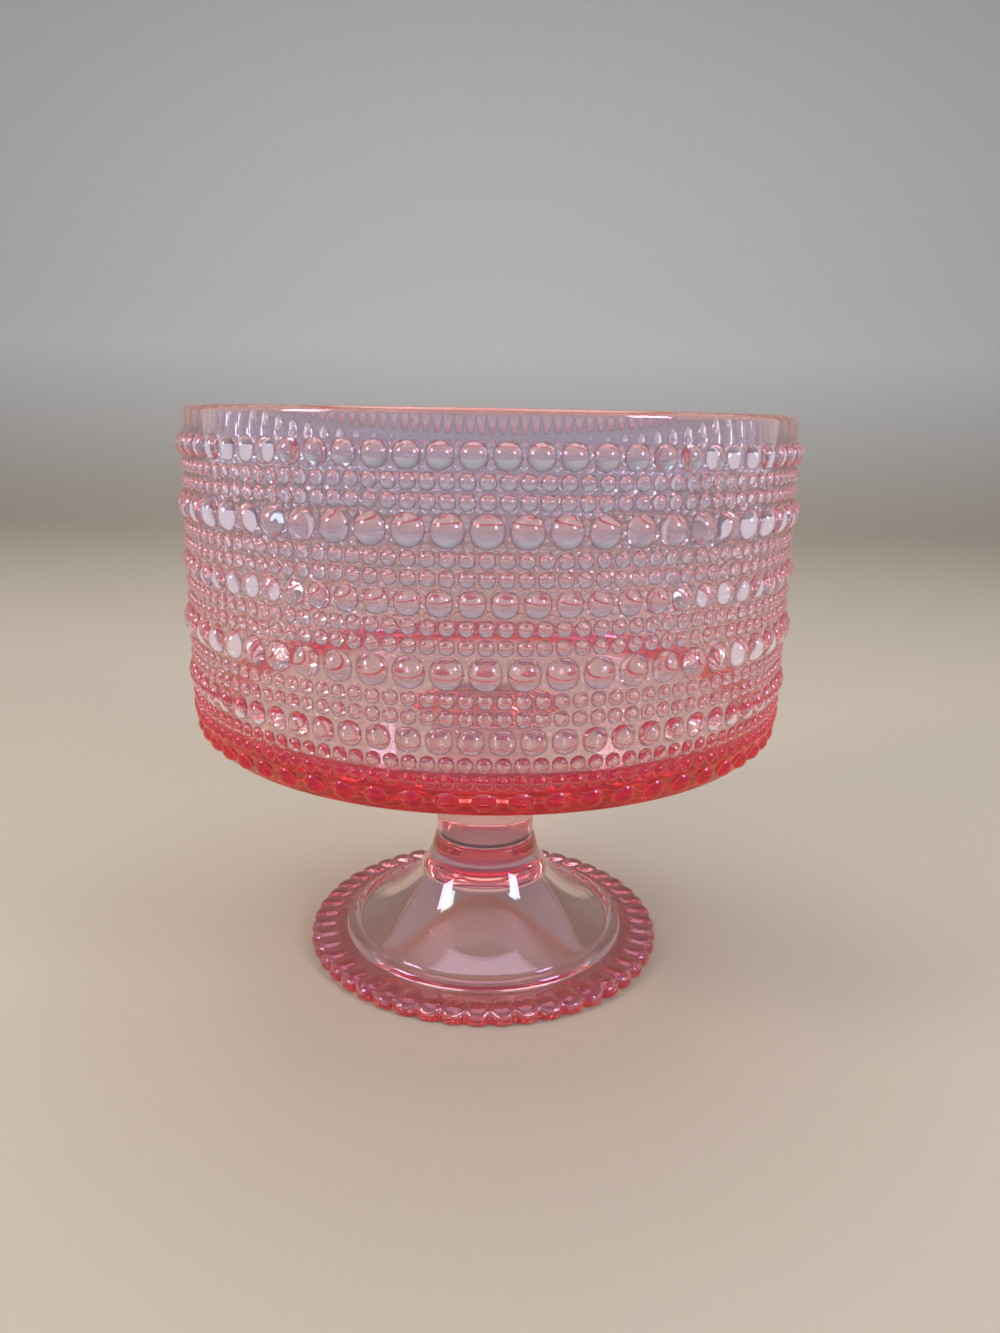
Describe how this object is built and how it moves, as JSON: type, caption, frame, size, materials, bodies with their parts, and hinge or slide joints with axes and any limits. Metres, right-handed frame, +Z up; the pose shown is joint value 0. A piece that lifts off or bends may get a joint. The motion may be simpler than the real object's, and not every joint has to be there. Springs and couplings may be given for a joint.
{
  "type": "footed trifle bowl",
  "caption": "Straight-sided footed trifle bowl in pressed pink glass, its wall covered in rows of round beads, on a solid stem and a hollow flared foot with a ribbed edge.",
  "frame": {"origin": "centre of the foot's underside, on the plane the bowl stands on", "axes": "+Z up along the bowl's axis; -Y towards the viewer of the picture; +X to the viewer's right"},
  "size_m": [0.2174, 0.2173, 0.2032],
  "materials": {
    "pink_glass": "polished pressed glass, pale pink where thin and red where thick, with a faint lavender lustre",
    "clear_bond": "clear cured film"
  },
  "bodies": {
    "root": {"bowl": "pink_glass", "bond_film": "clear_bond", "foot": "pink_glass"}
  },
  "joints": []
}
